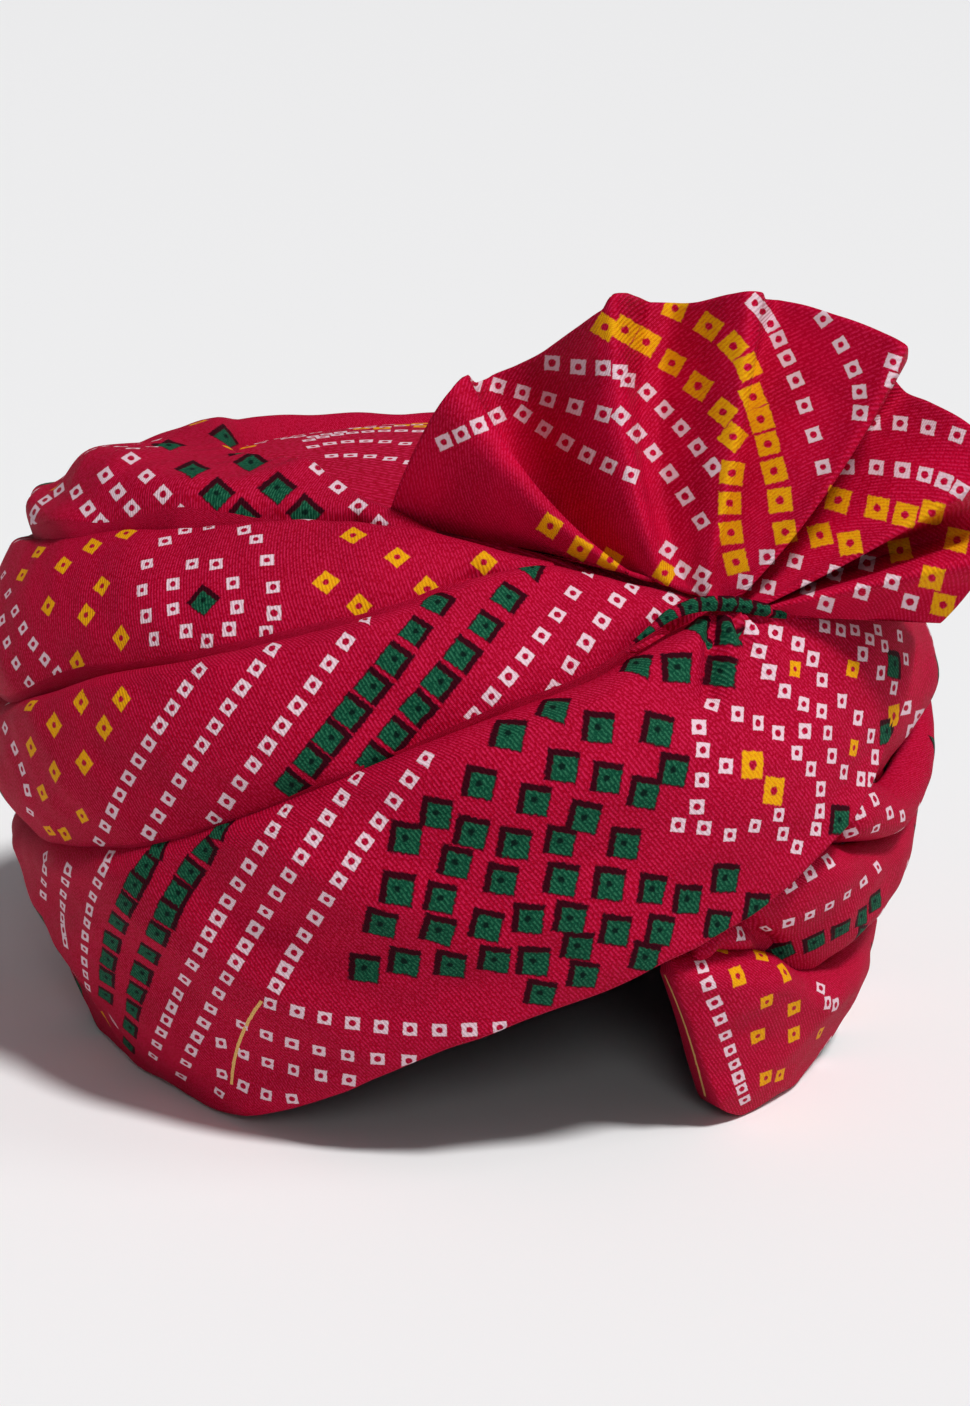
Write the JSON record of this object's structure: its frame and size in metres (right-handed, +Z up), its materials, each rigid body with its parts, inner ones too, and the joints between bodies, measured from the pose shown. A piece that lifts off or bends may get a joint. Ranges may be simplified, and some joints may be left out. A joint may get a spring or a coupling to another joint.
{
  "type": "tied turban",
  "caption": "Ready-tied turban of printed cloth, wound in broad rising turns over a lined dome, with a brow arch and a pleated fan standing on its gather.",
  "frame": {"origin": "middle of the outline in plan, on the plane of the hem", "axes": "+X to the wearer's left, -Y towards the brow, +Z up"},
  "size_m": [0.2468, 0.2738, 0.2003],
  "materials": {
    "printed_cloth": "fine satin-faced cotton, crimson with a tie-dye pattern of white, green and yellow squares",
    "fan_cloth": "the same crimson cloth, starched and pleated",
    "lining_cloth": "plain matt dark plum lining"
  },
  "bodies": {
    "root": {"lining": "lining_cloth", "crown": "printed_cloth", "top_turn": "printed_cloth", "third_turn": "printed_cloth", "second_turn": "printed_cloth", "outer_turn": "printed_cloth", "fan": "fan_cloth", "gather_roll": "printed_cloth"}
  },
  "joints": []
}
